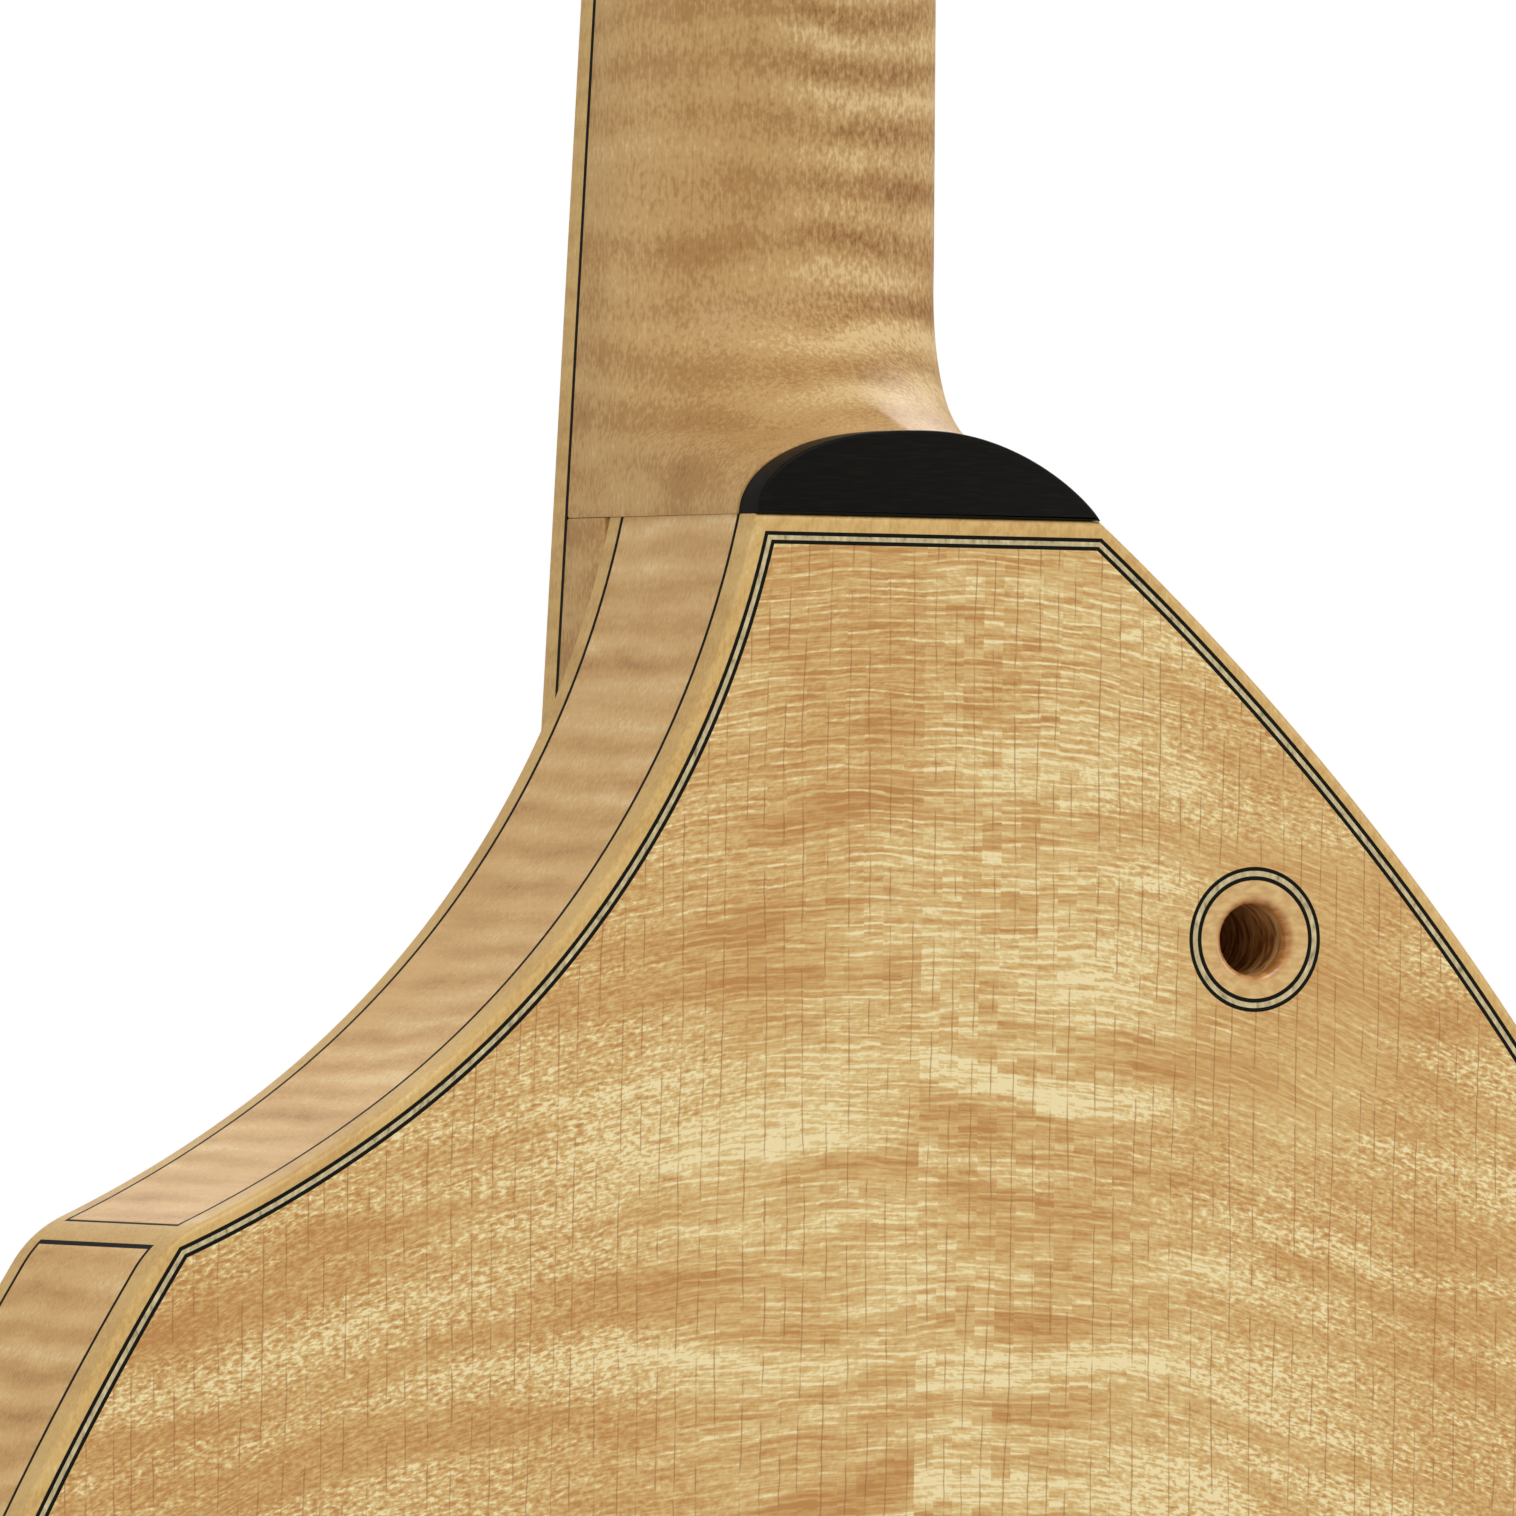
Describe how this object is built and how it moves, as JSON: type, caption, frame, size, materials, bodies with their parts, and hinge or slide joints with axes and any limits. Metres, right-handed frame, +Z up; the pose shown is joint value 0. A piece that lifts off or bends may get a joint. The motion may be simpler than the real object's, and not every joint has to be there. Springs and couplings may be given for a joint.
{
  "type": "oud",
  "caption": "Flat-backed cutaway oud: flamed maple back and ribs, arched spruce front with rosettes, fretless neck, bent-back pegbox, turning pegs, floating bridge and tailpiece.",
  "frame": {"origin": "point on the back of the neck under the pegbox, on the centre line, where a wall hanger holds the instrument", "axes": "+Z up along the body towards the pegbox, +Y out of the flat back, +X towards the treble (cutaway) side; the soundboard faces -Y"},
  "size_m": [0.3759, 0.2302, 0.7607],
  "materials": {
    "back_maple": "clear satin-gloss lacquer over flamed maple",
    "rib_maple": "clear satin-gloss lacquer over maple",
    "edge_maple": "clear satin-gloss lacquer over plain light maple",
    "neck_maple": "clear satin lacquer over maple",
    "spruce": "clear satin lacquer over straight-grained spruce",
    "inner_spruce": "bare wood",
    "purfling": "black and grey-cream wood lines under lacquer",
    "ebony": "polished to a satin",
    "bone": "polished",
    "rosewood": "satin",
    "gut": "waxed gut",
    "nylon": "clear monofilament",
    "wound_string": "silver-plated winding"
  },
  "bodies": {
    "instrument": {"back_plate_treble": "back_maple", "back_plate_bass": "back_maple", "back_binding": "edge_maple", "back_purfling": "purfling", "rib_bass": "rib_maple", "rib_treble_lower": "rib_maple", "rib_treble_upper": "rib_maple", "cutaway_point_strip": "rib_maple", "front_binding": "edge_maple", "front_purfling": "purfling", "soundboard": "spruce", "rosette_main": "rosewood", "rosette_treble": "rosewood", "rosette_bass": "rosewood", "neck_block": "inner_spruce", "tail_block": "inner_spruce", "cutaway_block": "inner_spruce", "back_lining": "inner_spruce", "front_lining": "inner_spruce", "back_brace": "inner_spruce", "soundboard_brace_upper": "inner_spruce", "soundboard_brace_lower": "inner_spruce", "socket_purfling": "purfling", "socket_ferrule": "edge_maple", "socket_block": "rib_maple", "neck": "neck_maple", "neck_extension": "neck_maple", "fingerboard": "ebony", "fingerboard_binding": "edge_maple", "heel_cap": "ebony", "nut": "bone", "pegbox_cheek_treble": "neck_maple", "pegbox_cheek_bass": "neck_maple", "pegbox_back": "neck_maple", "bridge": "ebony", "tailpiece": "ebony", "tail_gut": "gut", "end_button": "ebony", "string_1": "wound_string", "string_2": "wound_string", "string_3": "wound_string", "string_4": "wound_string", "string_5": "wound_string", "string_6": "nylon", "string_7": "nylon", "string_8": "nylon", "string_9": "nylon", "string_10": "nylon", "string_11": "nylon"},
    "tuner_1": {"peg_1": "ebony"},
    "tuner_2": {"peg_2": "ebony"},
    "tuner_3": {"peg_3": "ebony"},
    "tuner_4": {"peg_4": "ebony"},
    "tuner_5": {"peg_5": "ebony"},
    "tuner_6": {"peg_6": "ebony"},
    "tuner_7": {"peg_7": "ebony"},
    "tuner_8": {"peg_8": "ebony"},
    "tuner_9": {"peg_9": "ebony"},
    "tuner_10": {"peg_10": "ebony"},
    "tuner_11": {"peg_11": "ebony"}
  },
  "joints": [
    {"name": "peg_1_turn", "type": "hinge", "parent": "instrument", "child": "tuner_1", "pos_m": [0, 0.01034, 0.0222], "axis": [1, 0, 0], "continuous": true},
    {"name": "peg_2_turn", "type": "hinge", "parent": "instrument", "child": "tuner_2", "pos_m": [0, 0.02454, 0.02604], "axis": [1, 0, 0], "continuous": true},
    {"name": "peg_3_turn", "type": "hinge", "parent": "instrument", "child": "tuner_3", "pos_m": [0, 0.03866, 0.03019], "axis": [1, 0, 0], "continuous": true},
    {"name": "peg_4_turn", "type": "hinge", "parent": "instrument", "child": "tuner_4", "pos_m": [0, 0.05268, 0.03463], "axis": [1, 0, 0], "continuous": true},
    {"name": "peg_5_turn", "type": "hinge", "parent": "instrument", "child": "tuner_5", "pos_m": [0, 0.06661, 0.03937], "axis": [1, 0, 0], "continuous": true},
    {"name": "peg_6_turn", "type": "hinge", "parent": "instrument", "child": "tuner_6", "pos_m": [0, 0.08043, 0.04441], "axis": [1, 0, 0], "continuous": true},
    {"name": "peg_7_turn", "type": "hinge", "parent": "instrument", "child": "tuner_7", "pos_m": [0, 0.09415, 0.04974], "axis": [1, 0, 0], "continuous": true},
    {"name": "peg_8_turn", "type": "hinge", "parent": "instrument", "child": "tuner_8", "pos_m": [0, 0.10774, 0.05536], "axis": [1, 0, 0], "continuous": true},
    {"name": "peg_9_turn", "type": "hinge", "parent": "instrument", "child": "tuner_9", "pos_m": [0, 0.12122, 0.06127], "axis": [1, 0, 0], "continuous": true},
    {"name": "peg_10_turn", "type": "hinge", "parent": "instrument", "child": "tuner_10", "pos_m": [0, 0.13456, 0.06747], "axis": [1, 0, 0], "continuous": true},
    {"name": "peg_11_turn", "type": "hinge", "parent": "instrument", "child": "tuner_11", "pos_m": [0, 0.14777, 0.07395], "axis": [1, 0, 0], "continuous": true}
  ]
}
